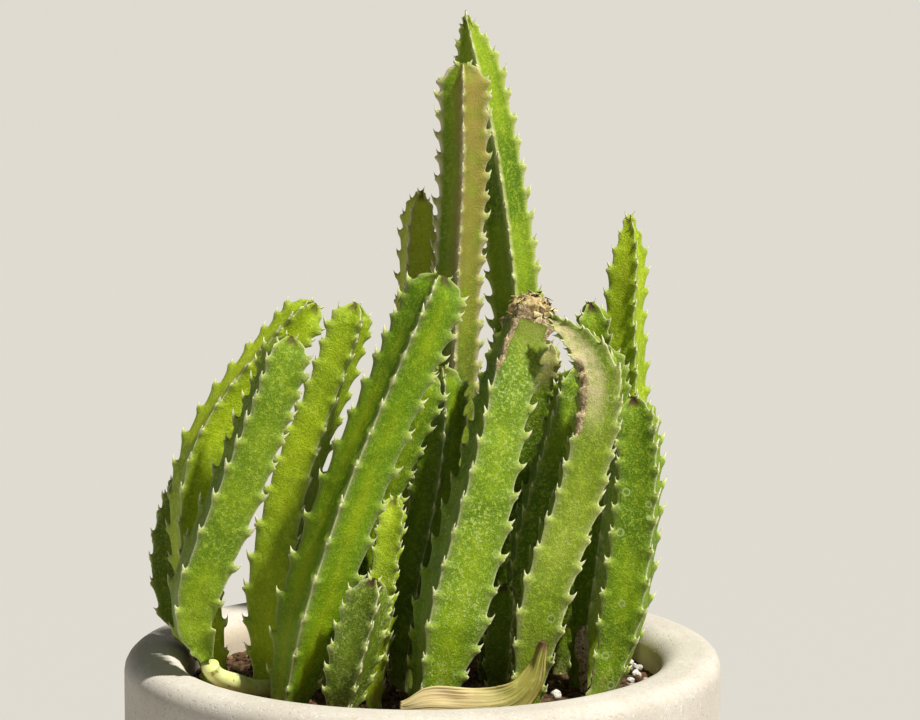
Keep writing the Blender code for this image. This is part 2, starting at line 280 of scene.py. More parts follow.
class Paint:
    """A material's nodes, with short ways to add and join them."""

    def __init__(self, name, roughness, specular=0.4):
        self.material = bpy.data.materials.new(name)
        self.material.use_nodes = True
        self.tree = self.material.node_tree
        self.shader = self.tree.nodes["Principled BSDF"]
        self.shader.inputs["Roughness"].default_value = roughness
        self.shader.inputs["Specular IOR Level"].default_value = specular
        self.where = self.node("ShaderNodeTexCoord").outputs["Object"]

    def node(self, kind, **settings):
        made = self.tree.nodes.new(kind)
        for name, value in settings.items():
            setattr(made, name, value)
        return made

    def put(self, socket, value):
        """Links a socket to another node's, or sets its number or colour."""
        if isinstance(value, bpy.types.NodeSocket):
            self.tree.links.new(value, socket)
        elif isinstance(value, tuple) and len(value) == 3:
            socket.default_value = (*value, 1) if len(socket.default_value) == 4 else value
        else:
            socket.default_value = value

    def value(self, name):
        """A number that the mesh carries at each point."""
        return self.node("ShaderNodeAttribute", attribute_name=name).outputs["Fac"]

    def math(self, operation, a, b=0.0):
        made = self.node("ShaderNodeMath", operation=operation)
        for socket, value in zip(made.inputs, (a, b)):
            self.put(socket, value)
        return made.outputs[0]

    def ramp(self, value, low, high, start=0.0, end=1.0):
        """Start where the value is low, end where it is high, smooth between."""
        made = self.node("ShaderNodeMapRange", interpolation_type="SMOOTHSTEP")
        for socket, given in zip(made.inputs, (value, low, high, start, end)):
            self.put(socket, given)
        return made.outputs[0]

    def times(self, *values):
        made = values[0]
        for value in values[1:]:
            made = self.math("MULTIPLY", made, value)
        return made

    def mix(self, share, a, b):
        """Colour a where the share is 0 and colour b where it is 1."""
        made = self.node("ShaderNodeMix", data_type="RGBA")
        self.put(made.inputs["Factor"], share)
        self.put(made.inputs[COLOR_A], a)
        self.put(made.inputs[COLOR_B], b)
        return made.outputs[MIXED_COLOR]

    def noise(self, size, detail, roughness, at=None):
        """Soft noise of 0 to 1 with lumps of about this size, in metres unless at is given."""
        made = self.node("ShaderNodeTexNoise")
        self.put(made.inputs["Vector"], self.where if at is None else at)
        made.inputs["Scale"].default_value = 1 / size
        made.inputs["Detail"].default_value = detail
        made.inputs["Roughness"].default_value = roughness
        return made.outputs["Fac"]

    def blotches(self, size, detail, roughness, low, high):
        """Noise sharpened to blotches: none where it is low, full where it is high."""
        return self.ramp(self.noise(size, detail, roughness), low, high)

    def cells(self, size):
        """How far it is to the nearest of many scattered points, as a share of size."""
        made = self.node("ShaderNodeTexVoronoi")
        self.put(made.inputs["Vector"], self.where)
        made.inputs["Scale"].default_value = 1 / size
        return made.outputs["Distance"]

    def bump(self, height, distance, strength=1.0, normal=None):
        made = self.node("ShaderNodeBump")
        made.inputs["Strength"].default_value = strength
        made.inputs["Distance"].default_value = distance
        self.put(made.inputs["Height"], height)
        if normal is not None:
            self.put(made.inputs["Normal"], normal)
        return made.outputs[0]

    def finish(self, color, normal=None, roughness=None):
        self.put(self.shader.inputs["Base Color"], color)
        if normal is not None:
            self.put(self.shader.inputs["Normal"], normal)
        if roughness is not None:
            self.put(self.shader.inputs["Roughness"], roughness)
        return self.material


def stem_paint(name, style):
    """Fleshy skin: mottled greens, pale rib edges and teeth, a dark growing tip."""
    paint = Paint(name, 0.5, 0.2)
    flesh = paint.shader.inputs
    flesh["Subsurface Weight"].default_value = 0.04
    flesh["Subsurface Scale"].default_value = 0.003
    flesh["Subsurface Radius"].default_value = (0.8, 1.0, 0.2)
    flank, apex, knob = paint.value("flank"), paint.value("apex"), paint.value("knob")
    spike, cork, worn = paint.value("spike"), paint.value("cork"), paint.value("worn")
    low, edge = paint.value("low"), paint.value("edge")

    cloud = paint.noise(0.030, 2, 0.5)
    mottle = paint.noise(0.0022, 5, 0.75)
    grain = paint.noise(0.0007, 3, 0.7)
    color = paint.mix(paint.ramp(cloud, 0.30, 0.70), style["deep"], style["mid"])
    color = paint.mix(paint.times(paint.ramp(mottle, 0.46, 0.66), 0.6), color, style["bright"])
    middle = paint.times(paint.ramp(flank, 0.3, 1.0), paint.ramp(cloud, 0.3, 0.6), style["centre"])
    color = paint.mix(middle, color, style["glow"])
    dots = paint.ramp(grain, 0.57, 0.66)
    color = paint.mix(paint.times(dots, 0.45), color, rgb(196, 212, 84))
    dark = paint.blotches(0.0009, 3, 0.7, 0.55, 0.66)
    color = paint.mix(paint.times(dark, 0.4), color, rgb(46, 80, 2))

    velvet = paint.noise(0.0011, 5, 0.75)
    patches = paint.blotches(0.020, 3, 0.6, 0.28, 0.62)
    frost = paint.times(paint.ramp(velvet, 0.53, 0.60), patches, style["frost"])
    color = paint.mix(frost, color, rgb(200, 212, 150))
    near_rib = paint.ramp(flank, 0.36, 0.05)
    smoke = paint.times(near_rib, paint.ramp(velvet, 0.40, 0.60), style["smoke"])
    color = paint.mix(smoke, color, rgb(132, 146, 84))
    color = paint.mix(paint.times(paint.ramp(flank, 0.30, 0.04), style["band"]), color, style["rim"])

    scar = paint.cells(0.011)
    ring = paint.times(paint.ramp(scar, 0.09, 0.12), paint.ramp(scar, 0.17, 0.14), style["rings"])
    color = paint.mix(ring, color, rgb(186, 200, 140))

    # Tan: dry skin round a tip, and on two stems painted light on the side that faces right or left.
    tan = paint.times(worn, paint.blotches(0.012, 4, 0.65, 0.24, 0.56))
    color = paint.mix(tan, color, style["tan"])
    specks = paint.times(worn, paint.blotches(0.0011, 2, 0.5, 0.60, 0.70), 0.3)
    color = paint.mix(specks, color, rgb(96, 62, 58))
    # Greyer, tan patches on the lowest 14 mm of a stem.
    near_soil_tint = paint.times(low, paint.ramp(mottle, 0.40, 0.60), 0.65)
    color = paint.mix(near_soil_tint, color, rgb(150, 140, 96))

    color = paint.mix(paint.times(knob, 0.5), color, rgb(178, 192, 84))
    color = paint.mix(paint.times(knob, paint.ramp(mottle, 0.52, 0.64), 0.35), color,
                      rgb(212, 172, 132))
    line = paint.times(edge, paint.ramp(paint.noise(0.004, 2, 0.5), 0.25, 0.5, 0.35, 1.0))
    color = paint.mix(line, color, style["edge"])
    purple = paint.times(apex, paint.ramp(flank, 0.15, 0.45), style["purple"])
    color = paint.mix(purple, color, rgb(64, 34, 22))

    horn = paint.mix(paint.ramp(spike, 0.15, 0.80), rgb(164, 184, 78), rgb(234, 230, 190))
    burnt = paint.times(paint.ramp(spike, 0.80, 0.95), paint.ramp(cloud, 0.50, 0.56))
    horn = paint.mix(burnt, horn, rgb(78, 48, 34))
    color = paint.mix(paint.ramp(spike, 0.0, 0.12), color, horn)
    bark = paint.mix(paint.blotches(0.0015, 4, 0.7, 0.40, 0.62), rgb(158, 132, 88), rgb(230, 210, 170))
    bark = paint.mix(paint.blotches(0.0011, 2, 0.6, 0.62, 0.70), bark, rgb(58, 40, 28))
    color = paint.mix(paint.ramp(cork, 0.3, 0.6), color, bark)

    skin = paint.bump(grain, 0.00040, 1.0)
    skin = paint.bump(mottle, 0.0006, 0.5, skin)
    crust = paint.times(cork, paint.noise(0.0014, 4, 0.7))
    skin = paint.bump(crust, 0.0012, 1.0, skin)
    return paint.finish(color, skin, paint.ramp(velvet, 0.3, 0.7, 0.42, 0.66))


# ---------------------------------------------------------------- stems

AROUND = 8  # columns of points from a rib's crest to the middle of a flank
STEM_REACH = 0.022  # how far from its middle a stem's section may lie
STEM_STEP = 0.00085  # from one ring of a stem's points to the next
TIP_PITCH = 0.0058  # between teeth at the tip
UPPER_PITCH = 0.0092  # between teeth on the upper stem, at most
TOOTH_SIZE = 0.0038
TOOTH_SIDES = 7
TOOTH_LEVELS = 6

# Deep, mid and bright are the mottled skin and glow is the middle of a flank. Edge is the line
# along a rib's crest, rim the stripe beside it, and tan the colour of dry patches and of sides
# painted light. Band, frost, smoke, rings, purple and centre are shares of 0 to 1. Cork says
# where dry patches are, and worn where the skin is tan: round a dry tip, or on a side
# that faces right or left, where the tan is painted light.
# Pitch is how far apart the teeth are low on the stem, and valley how far out a flank's
# middle stands, as a share of the ribs.
GREEN = {"deep": rgb(82, 116, 0), "mid": rgb(116, 148, 4), "bright": rgb(166, 188, 32),
         "glow": rgb(176, 192, 10), "edge": rgb(226, 226, 176), "tan": rgb(146, 128, 60),
         "rim": rgb(176, 184, 104), "band": 0.0, "frost": 0.16, "smoke": 0.42, "rings": 0.0,
         "purple": 0.8, "cork": None, "worn": None, "pitch": 0.0132, "valley": 0.64,
         "centre": 0.2}


def look(**changes):
    """The looks of one stem: the common green ones, with these changes."""
    return {**GREEN, **changes}


LIME = dict(deep=rgb(138, 166, 8), mid=rgb(170, 194, 18), bright=rgb(204, 220, 56),
            glow=rgb(204, 218, 22))
# Darker greens; on the shaded short stem they are painted shade.
DARK = dict(deep=rgb(74, 96, 6), mid=rgb(98, 122, 16), bright=rgb(136, 154, 46),
            glow=rgb(130, 150, 24))
LOOKS = {
    "stem_left_rear": look(**LIME, frost=0.2, pitch=0.0125),
    "stem_left_low": look(**DARK, frost=0.3, smoke=0.6),
    "stem_left_arched": look(frost=0.2, smoke=0.5, pitch=0.0160, deep=rgb(96, 128, 6),
                             mid=rgb(130, 158, 14), glow=rgb(164, 182, 26)),
    "stem_left_inner": look(**LIME, frost=0.1),
    "stem_front_left": look(deep=rgb(88, 126, 0), mid=rgb(116, 150, 4), bright=rgb(148, 174, 22),
                            glow=rgb(172, 182, 6), smoke=0.8, frost=0.05, pitch=0.0155, centre=0.35),
    "stem_front_left_rear": look(),
    "stem_centre_inner": look(smoke=0.8),
    # Painted light: the side that faces right, towards the sun, is painted tan.
    "stem_centre_tall": look(worn="right", rim=rgb(218, 204, 160), band=0.85, pitch=0.0085,
                             edge=rgb(230, 216, 188), purple=0.4, frost=0.1, smoke=0.2,
                             valley=0.57, tan=rgb(150, 138, 62), bright=rgb(160, 172, 62)),
    # Painted light: this stem's greens are lighter than its skin, standing for sun that the stem in
    # front of it keeps off.
    "stem_rear_small": look(deep=rgb(176, 190, 36), mid=rgb(198, 210, 60), bright=rgb(214, 222, 96),
                            glow=rgb(206, 214, 60), band=0.5, rim=rgb(206, 178, 124),
                            pitch=0.0095),
    "stem_rear_tallest": look(glow=rgb(156, 178, 30), band=0.7, pitch=0.0102, smoke=0.2,
                              frost=0.1, rim=rgb(196, 204, 120), valley=0.58,
                              mid=rgb(132, 160, 20)),
    "stem_front_centre": look(frost=0.5, smoke=0.5, cork="crown", worn="tip", pitch=0.0125,
                              tan=rgb(112, 118, 44), rings=0.3),
    "stem_centre_right": look(frost=0.4, worn="tip", tan=rgb(192, 182, 116), pitch=0.0105),
    "stem_inner_right": look(frost=0.25, pitch=0.0115),
    # Its left side near the tip is painted cream: dry skin by the scar, and a painted highlight where
    # the bent tip faces up into the sun.
    "stem_front_right_bent": look(frost=0.4, rings=0.4, cork="bend", worn="left", pitch=0.0120,
                                  band=0.15, rim=rgb(204, 200, 140), tan=rgb(222, 206, 158),
                                  deep=rgb(106, 132, 16), mid=rgb(134, 154, 34),
                                  glow=rgb(178, 188, 70)),
    "stem_rear_right_short": look(frost=0.2, purple=1.0, pitch=0.0095),
    "stem_right_inner": look(pitch=0.0105),
    "stem_rear_right_tall": look(**LIME, pitch=0.0105),
    "stem_far_right": look(rings=0.6, purple=1.0, frost=0.2),
    "stem_front_small": look(**DARK, purple=1.0, frost=0.4, smoke=0.9, pitch=0.0090),
    "stem_front_short": look(**LIME, frost=0.3, pitch=0.0095),
    # Painted shade: its dark greens stand for the shadow that this stem stands in.
    "stem_shaded_short": look(**DARK, pitch=0.0095),
}


def tooth_places(length, lowest, start, pitch, random):
    """Places along one rib, from the foot: close together at the tip, wide apart low down."""
    places, back = [], start
    while length - back > lowest:
        places.append(length - back)
        spaced = TIP_PITCH + (min(pitch, UPPER_PITCH) - TIP_PITCH) * float(fade(0.0, 0.024, back))
        spaced += max(pitch - UPPER_PITCH, 0.0) * float(fade(0.020, 0.085, back))
        back += spaced * random.uniform(0.9, 1.1)
    return np.array(places[::-1])


def rib_outline(places, teeth, pitch):
    """Along a rib: how far out its edge stands, -0.5 to 0.5, and how near a tooth is."""
    spaced = np.concatenate([[teeth[0] - pitch], teeth, [teeth[-1] + 0.006]])
    after = np.clip(np.searchsorted(spaced, places), 1, len(spaced) - 1)
    below, above = spaced[after - 1], spaced[after]
    climb = np.clip((places - below) / (above - below), 0, 1)
    edge = 0.35 * climb + 0.65 * np.exp(-((above - places) / 0.0042) ** 1.5) - 0.5
    notch = fade(0, 0.0016, places - below)
    edge = 0.5 + (edge - 0.5) * notch
    near = np.exp(-((above - places - 0.0006) / 0.0014) ** 2)
    near += np.exp(-((below - places - 0.0006) / 0.0014) ** 2)
    return edge, np.clip(near, 0, 1)


def make_tooth(shape, foot, out, up, size, spot, random):
    """A soft thorn that leaves the rib outwards and hooks towards the stem's tip.

    Spot is its place on the picture map: left, bottom, width and height.
    """
    side = np.cross(up, out)
    lean = random.uniform(-0.25, 0.25)
    reach, rise = size * random.uniform(0.46, 0.66), size * random.uniform(0.80, 1.05)
    rings, shares, spots = [], [], []
    for level in range(TOOTH_LEVELS):
        t = level / TOOTH_LEVELS
        centre = (foot + out * reach * (1.5 * t - 0.5 * t * t) + up * rise * (0.35 * t + 0.65 * t * t)
                  + side * lean * size * t * t)
        thick = size * 0.34 * (1 - t) ** 0.85 + 0.00008
        for k in range(TOOTH_SIDES):
            angle = 2 * pi * k / TOOTH_SIDES
            rings.append(centre + up * thick * 1.3 * cos(angle) + side * thick * 0.66 * sin(angle))
            shares.append(t)
            spots.append((spot[0] + spot[2] * k / TOOTH_SIDES, spot[1] + spot[3] * t))
    rings.append(foot + out * reach + up * rise + side * lean * size)
    shares.append(1.0)
    spots.append((spot[0] + spot[2] / 2, spot[1] + spot[3]))
    faces = grid_faces(TOOTH_LEVELS, TOOTH_SIDES)
    faces += fan((TOOTH_LEVELS - 1) * TOOTH_SIDES, TOOTH_SIDES, len(rings) - 1)
    faces = [tuple(reversed(face)) for face in faces]
    shape.add(rings, faces, spots, spike=shares)


Track = namedtuple("Track", "places to_tip centres widths along out beside")


def corked_rib(style, track):
    """The rib that carries the scar: the one that faces left and forward at the bend."""
    if style["cork"] is None:
        return None
    i = int(len(track.out) * 0.8)
    ways = [track.out[i], track.beside[i], -track.out[i], -track.beside[i]]
    aim = unit(np.array([-1.0, -0.35, 0.3]))
    return max(range(RIBS), key=lambda k: ways[k] @ aim)


def cork_share(style, scarred, track):
    """How corky one rib is along its crest: round the crown, or down the scar of the bend."""
    if style["cork"] == "crown":
        back = track.to_tip + 0.004 * rough(track.centres, 0.006, 3.0)
        return fade(0.019, 0.012, back) + (fade(0.045, 0.03, back) * 0.7 if scarred else 0)
    if style["cork"] == "bend" and scarred:
        return fade(0.060, 0.050, track.to_tip) * fade(0.016, 0.024, track.to_tip)
    return np.zeros(len(track.places))


def worn_and_lit_share(style, ways, to_tip):
    """How tan the skin is: all round a dry tip, or on the side that faces right or left, where the tan
    is painted light.
    """
    # Painted light: the sunlit side is painted tan, most strongly near the tip.
    if style["worn"] == "right":
        facing = ways @ unit(np.array([0.8, -0.6, 0.0]))
        return fade(-0.3, 0.5, facing) * (0.25 + 0.75 * fade(0.15, 0.02, to_tip)[:, None])
    # Dry skin by the scar of the bend, and a painted highlight where the bent tip faces up into the
    # sun.
    if style["worn"] == "left":
        facing = ways @ unit(np.array([-0.8, -0.6, 0.0]))
        return fade(0.1, 0.7, facing) * fade(0.058, 0.026, to_tip)[:, None] * 0.9
    if style["worn"] == "tip":
        reach = 0.034 if style["cork"] else 0.022
        return np.broadcast_to(fade(reach, 0.006, to_tip)[:, None], ways.shape[:-1]) * 0.9
    return np.zeros(ways.shape[:-1])


def skin_columns(style, track, wave, valley, teeth):
    """Up each column of the skin: its angle, its radius and the marks it carries."""
    rows = {name: [] for name in ("radius", "knob", "edge", "angle", "flank", "cork")}
    steps = np.arange(-AROUND, AROUND) / AROUND
    swing = np.sign(steps) * np.abs(steps) ** 1.4 * VALLEY_ANGLE
    scarred = corked_rib(style, track)
    base = track.widths * valley
    for k in range(RIBS):
        outline, near = rib_outline(track.places, teeth[k], style["pitch"])
        cork = cork_share(style, k == scarred, track)
        crest = wave * outline - 0.0018 * cork * (0.6 + 0.4 * rough(track.centres, 0.004, k))
        for swung in swing:
            bulge = np.exp(-(abs(swung) / 17) ** 1.3)
            knob = near * np.exp(-(swung / 8) ** 2)
            beside_scar = (np.exp(-(swung / 14) ** 2) if style["cork"] == "bend"
                           or abs(swung) < 9 else fade(0.012, 0.009, track.to_tip))
            rows["radius"].append(base + (track.widths - base) * bulge
                                  + crest * np.exp(-(swung / 9) ** 2) + 0.0009 * knob)
            rows["knob"].append(knob * 0.8)
            rows["edge"].append(np.exp(-(swung / 1.6) ** 2) * (0.75 + 0.25 * near))
            rows["flank"].append(np.full(len(base), abs(swung) / VALLEY_ANGLE))
            rows["angle"].append(np.full(len(base), radians(2 * VALLEY_ANGLE * k + swung)))
            rows["cork"].append(cork * beside_scar)
    return {name: np.stack(values, axis=1) for name, values in rows.items()}


def add_skin(shape, track, points, skin):
    """The skin's grid with both ends closed, on the lower 0.85 of the picture map."""
    levels, count = points.shape[:2]
    turn = (np.arange(count) + 0.5) / count
    climb = track.places / track.places[-1]
    spots = np.stack(np.broadcast_arrays(turn[None] * 0.98 + 0.01,
                                         climb[:, None] * 0.84 + 0.005), axis=-1)
    size = levels * count
    faces = grid_faces(levels, count) + fan(0, count, size, flipped=True)
    faces += fan(size - count, count, size + 1)
    tip = track.centres[-1] + track.along[-1] * 0.0006
    at_foot, at_tip = {"low": 1}, {"flank": 1, "apex": 1}
    marks = {name: np.append(skin[name].ravel(), [at_foot.get(name, 0), at_tip.get(name, 0)])
             for name in ("flank", "apex", "knob", "cork", "worn", "low", "edge")}
    shape.add(np.concatenate([points.reshape(-1, 3), [track.centres[0]], [tip]]), faces,
              np.concatenate([spots.reshape(-1, 2), [(0.5, 0.0), (0.5, 0.85)]]), **marks)


def add_teeth(shape, track, ways, skin, teeth, random):
    """A tooth at each place along each rib, small on thin stems and hardly any on cork."""
    total = sum(len(rib) for rib in teeth)
    made = 0
    for k in range(RIBS):
        crest = (2 * k + 1) * AROUND
        for tooth in teeth[k]:
            i = min(int(np.searchsorted(track.places, tooth)), len(track.places) - 1)
            grown = float(fade(0, 0.016, track.places[-1] - tooth))
            size = TOOTH_SIZE * (1.15 - 0.15 * grown) * random.uniform(0.82, 1.15)
            size *= float(np.clip(track.widths[i] / 0.0095, 0.78, 1.12))
            size *= 1 - 0.85 * float(skin["cork"][i, crest])
            way, along = ways[i, crest], track.along[i]
            foot = (track.centres[i] + way * (skin["radius"][i, crest] - size * 0.34)
                    - along * size * 0.22)
            spot = (made / total + 0.001, 0.87, 0.9 / total, 0.125)
            make_tooth(shape, foot, unit(way), along, size, spot, random)
            made += 1


def make_stem(node, style):
    """A stem built along its solid's spine: wavy ribs, sunken flanks, marks and teeth."""
    random = np.random.default_rng(sum(map(ord, node)))
    centres, widths, ribs = spine(node, STEM_REACH)
    places, centres, widths, ribs = resampled(centres, STEM_STEP, widths, ribs)
    along, out, beside = frames_along(centres, ribs)
    to_tip = places[-1] - places
    height = centres[:, 2] - SOIL_TOP

    widths = widths * (1 + 0.04 * rough(centres, 0.03, 1.0))
    wave = 0.0018 * np.clip(widths / 0.010, 0.4, 1.15) * fade(0.0, 0.006, to_tip + 0.003)
    wave = wave * (1 + 0.6 * np.exp(-to_tip / 0.014))
    valley = (style["valley"] - 0.16 * np.exp(-to_tip / 0.008)
              + 0.12 * fade(0.012, -0.004, height))
    if node == "stem_left_arched":
        widths = widths * (0.4 + 0.6 * fade(-0.002, 0.012, places))
    track = Track(places, to_tip, centres, widths, along, out, beside)

    lowest = float(places[np.argmax(height > 0.004)]) or 0.012
    teeth = [tooth_places(places[-1], lowest, 0.0008 + (k % 2) * 0.0034, style["pitch"], random)
             for k in range(RIBS)]
    skin = skin_columns(style, track, wave, valley, teeth)
    ways = ways_around(out, beside, skin["angle"])
    points = centres[:, None] + ways * skin["radius"][..., None]
    points += ways * (rough(points, 0.007, 2.0) * 0.0004)[..., None]
    skin["worn"] = worn_and_lit_share(style, ways, to_tip)
    skin["apex"] = np.broadcast_to(fade(0.0048, 0.001, to_tip)[:, None], points.shape[:2])
    skin["low"] = np.broadcast_to(fade(0.014, 0.0, height)[:, None], points.shape[:2])

    shape = Shape("flank", "apex", "knob", "spike", "cork", "worn", "low", "edge")
    add_skin(shape, track, points, skin)
    add_teeth(shape, track, ways, skin, teeth, random)
    return shape.build(node.replace("stem_", "plant_"))


for node, style in LOOKS.items():
    place(make_stem(node, style), stem_paint(node, style), "stem", node)


# ---------------------------------------------------------------- pot, soil and the rest

POT_POINTS = mesh_of("pot")[0]
OPENING = float(np.hypot(*POT_POINTS[POT_POINTS[:, 2] > SOIL_TOP, :2].T).min())
SOIL_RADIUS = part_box("soil")[1].x
CRUMBS = 1500
LOOSE_PERLITE = 26
FLAKES = 150


def make_pot():
    """The pot's outline is read from the CAD solid and spun again in finer steps.

    Its corners are put in order by their direction from a point inside the foot of the wall.
    """
    right_side = (np.abs(POT_POINTS[:, 1]) < 1e-5) & (POT_POINTS[:, 0] > 0)
    outline = POT_POINTS[right_side][:, (0, 2)]
    outline = np.unique(np.round(outline, 6), axis=0)
    inner = outline[np.abs(outline[:, 1] - RIM_TOP) < 1e-4, 0].min() - 0.010
    middle = ((inner + outline[:, 0].max()) / 2, 0.011)
    turn = np.arctan2(outline[:, 1] - middle[1], outline[:, 0] - middle[0])
    outline = outline[np.argsort(-turn)]
    closed = np.concatenate([outline, outline[:1]])
    fine = [closed[:1]]
    for a, b in zip(closed, closed[1:]):
        count = max(1, round(float(np.linalg.norm(b - a)) / 0.003))
        fine.append(a + (b - a) * (np.arange(1, count + 1) / count)[:, None])
    fine = np.concatenate(fine)[:-1]
    around = 256
    angles = even_angles(around)
    ways = np.stack([np.cos(angles), np.sin(angles), angles * 0], axis=1)
    points = fine[:, None, :1] * ways[None] + fine[:, None, 1:] * np.array([0, 0, 1.0])
    points += ways[None] * (rough(points, 0.05, 4.0) * 0.00035)[..., None]
    faces = [tuple(reversed(face)) for face in grid_faces(len(fine), around)]
    last = (len(fine) - 1) * around
    faces += [(j, (j + 1) % around, last + (j + 1) % around, last + j) for j in range(around)]
    shape = Shape()
    shape.add(points, faces, (0, 0))
    return shape.build("planter", mapped=False)


def pot_paint():
    """Cast stone: warm off-white with fine tan speckle, small pits and faint clouds."""
    paint = Paint("cast_stone", 0.88, 0.25)
    color = paint.mix(paint.blotches(0.06, 4, 0.6, 0.35, 0.65), rgb(200, 193, 181), rgb(213, 207, 196))
    color = paint.mix(paint.times(paint.blotches(0.0035, 4, 0.65, 0.50, 0.66), 0.30),
                      color, rgb(196, 178, 150))
    color = paint.mix(paint.times(paint.blotches(0.0012, 2, 0.6, 0.60, 0.70), 0.5),
                      color, rgb(178, 158, 126))
    color = paint.mix(paint.times(paint.blotches(0.0017, 2, 0.6, 0.63, 0.70), 0.6),
                      color, rgb(236, 230, 218))
    apart = paint.node("ShaderNodeSeparateXYZ")
    paint.put(apart.inputs[0], paint.where)
    out = paint.math("SQRT", paint.math("ADD", paint.math("POWER", apart.outputs[0], 2.0),
                                        paint.math("POWER", apart.outputs[1], 2.0)))
    inside = paint.times(paint.ramp(out, OPENING + 0.0045, OPENING + 0.0005),
                         paint.ramp(apart.outputs[2], RIM_TOP, RIM_TOP - 0.006))
    color = paint.mix(paint.times(inside, 0.6), color, rgb(200, 182, 152))
    normal = paint.bump(paint.blotches(0.0022, 3, 0.6, 0.30, 0.42), 0.0004, 0.5)
    normal = paint.bump(paint.noise(0.0008, 3, 0.7), 0.0002, 0.6, normal)
    return paint.finish(color, normal)


def ball(random, radius, subdivisions, crumple):
    """The points and faces of a crumpled, squashed lump, turned at random."""
    shape = bmesh.new()
    bmesh.ops.create_icosphere(shape, subdivisions=subdivisions, radius=1.0)
    points = np.array([v.co for v in shape.verts])
    faces = [tuple(v.index for v in face.verts) for face in shape.faces]
    shape.free()
    seed = random.uniform(0, 50)
    points = points * (1 + crumple * rough(points, 0.9, seed))[:, None]
    points = points * random.uniform(0.7, 1.2, 3)
    turn = np.linalg.qr(random.normal(size=(3, 3)))[0]
    if np.linalg.det(turn) < 0:
        turn[:, 0] *= -1
    return points @ turn * radius, faces


def soil_height(x, y):
    """The lumpy top of the mix, kept near the flat top of its solid."""
    points = np.stack([x, y, np.zeros_like(x)], axis=-1)
    height = 0.0016 * rough(points, 0.022, 5.0) + 0.0011 * rough(points, 0.006, 6.0)
    return SOIL_TOP - 0.0006 + height + 0.0006 * rough(points, 0.0022, 7.0)


def make_soil():
    """A disc of mix with a lumpy top and a bevelled foot, strewn with crumbs."""
    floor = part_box("soil")[0].z
    rings, around = 110, 300
    angles = even_angles(around)

    def ring(radius, z):
        x, y = radius * np.cos(angles), radius * np.sin(angles)
        return np.stack([x, y, soil_height(x, y) if z is None else np.full(around, z)], axis=-1)

    out = SOIL_RADIUS * np.linspace(0.0, 1.0, rings + 1)[1:] ** 0.8
    sides = [ring(radius, None) for radius in out]
    sides += [ring(SOIL_RADIUS, floor + 0.012), ring(SOIL_RADIUS * 0.88, floor)]
    ends = [[0, 0, float(soil_height(0.0, 0.0))], [0, 0, floor]]
    count = len(sides) * around
    faces = grid_faces(len(sides), around) + fan(0, around, count, flipped=True)
    faces += fan(count - around, around, count + 1)
    shape = Shape("bit")
    shape.add(np.concatenate(sides + [ends]), faces, (0, 0))
    random = np.random.default_rng(11)
    for _ in range(CRUMBS):
        far = SOIL_RADIUS * 0.985 * random.uniform() ** 0.5
        angle = random.uniform(0, 2 * pi)
        size = 0.0006 + 0.0016 * random.uniform() ** 2.5
        bits, bit_faces = ball(random, size, 1, 0.5)
        x, y = far * cos(angle), far * sin(angle)
        z = float(soil_height(x, y)) + size * 0.25
        shape.add(bits + (x, y, z), bit_faces, (0, 0), bit=random.uniform(0.1, 1))
    return shape.build("potting_mix", mapped=False)


def soil_paint():
    """Dark peat; a crumb's own number makes it brown, bark-coloured or pale."""
    paint = Paint("potting_mix", 0.95, 0.2)
    bit = paint.value("bit")
    color = paint.mix(paint.blotches(0.003, 4, 0.7, 0.35, 0.65), rgb(48, 34, 24), rgb(112, 84, 58))
    color = paint.mix(paint.blotches(0.0012, 3, 0.6, 0.60, 0.72), color, rgb(160, 132, 98))
    color = paint.mix(paint.times(paint.ramp(bit, 0.05, 0.2), 0.6), color, rgb(104, 74, 48))
    color = paint.mix(paint.times(paint.ramp(bit, 0.78, 0.82), 0.9), color, rgb(176, 150, 116))
    color = paint.mix(paint.times(paint.ramp(bit, 0.955, 0.965), 0.9), color, rgb(222, 216, 200))
    return paint.finish(color, paint.bump(paint.noise(0.0016, 4, 0.7), 0.0010, 0.9))


def make_runner():
    """A pale smooth shoot with faint swellings, rising into the foot of the stem it bears."""
    centres, widths, ribs = spine("pale_runner", 0.012, folds=ROUND, step=0.0015)
    back = unit(centres[0] - centres[1])
    centres = np.vstack([centres[0] + back * 0.004, centres])
    widths, ribs = np.append(widths[:1], widths), np.vstack([ribs[:1], ribs])
    places, centres, widths, ribs = resampled(centres, 0.0005, widths, ribs)
    centres, ribs = smoothed(centres, 12), smoothed(ribs, 12)
    along, out, beside = frames_along(centres, ribs)
    swell = 1 + 0.06 * rough(centres, 0.009, 8.0) + 0.08 * fade(0.004, 0.0, places)
    around = 28
    ways = ways_around(out, beside, even_angles(around))
    points = centres[:, None] + ways * (widths.clip(0.0033, 0.0036) * swell)[:, None, None]
    points[0] += along[0] * 0.0016 * rough(points[0], 0.0016, 9.0)[:, None]
    count = len(places) * around
    faces = grid_faces(len(places), around) + fan(0, around, count, flipped=True)
    faces += fan(count - around, around, count + 1)
    green = np.append(np.repeat(fade(0.005, 0.0, places), around), [1, 0])
    shape = Shape("green")
    shape.add(np.concatenate([points.reshape(-1, 3), [centres[0] + along[0] * 0.0015],
                              [centres[-1]]]), faces, (0, 0), green=green)
    return shape.build("runner", mapped=False)


def runner_paint():
    """Pale yellow-green with a few brown flecks, greener where the stem begins."""
    paint = Paint("runner", 0.38, 0.5)
    paint.shader.inputs["Subsurface Weight"].default_value = 0.12
    paint.shader.inputs["Subsurface Scale"].default_value = 0.004
    color = paint.mix(paint.blotches(0.008, 3, 0.5, 0.35, 0.65), rgb(220, 228, 132), rgb(240, 242, 176))
    color = paint.mix(paint.times(paint.blotches(0.0022, 2, 0.5, 0.64, 0.70), 0.7),
                      color, rgb(150, 120, 60))
    color = paint.mix(paint.times(paint.value("green"), 0.8), color, rgb(140, 164, 40))
    return paint.finish(color, paint.bump(paint.noise(0.002, 3, 0.5), 0.0003, 0.4))


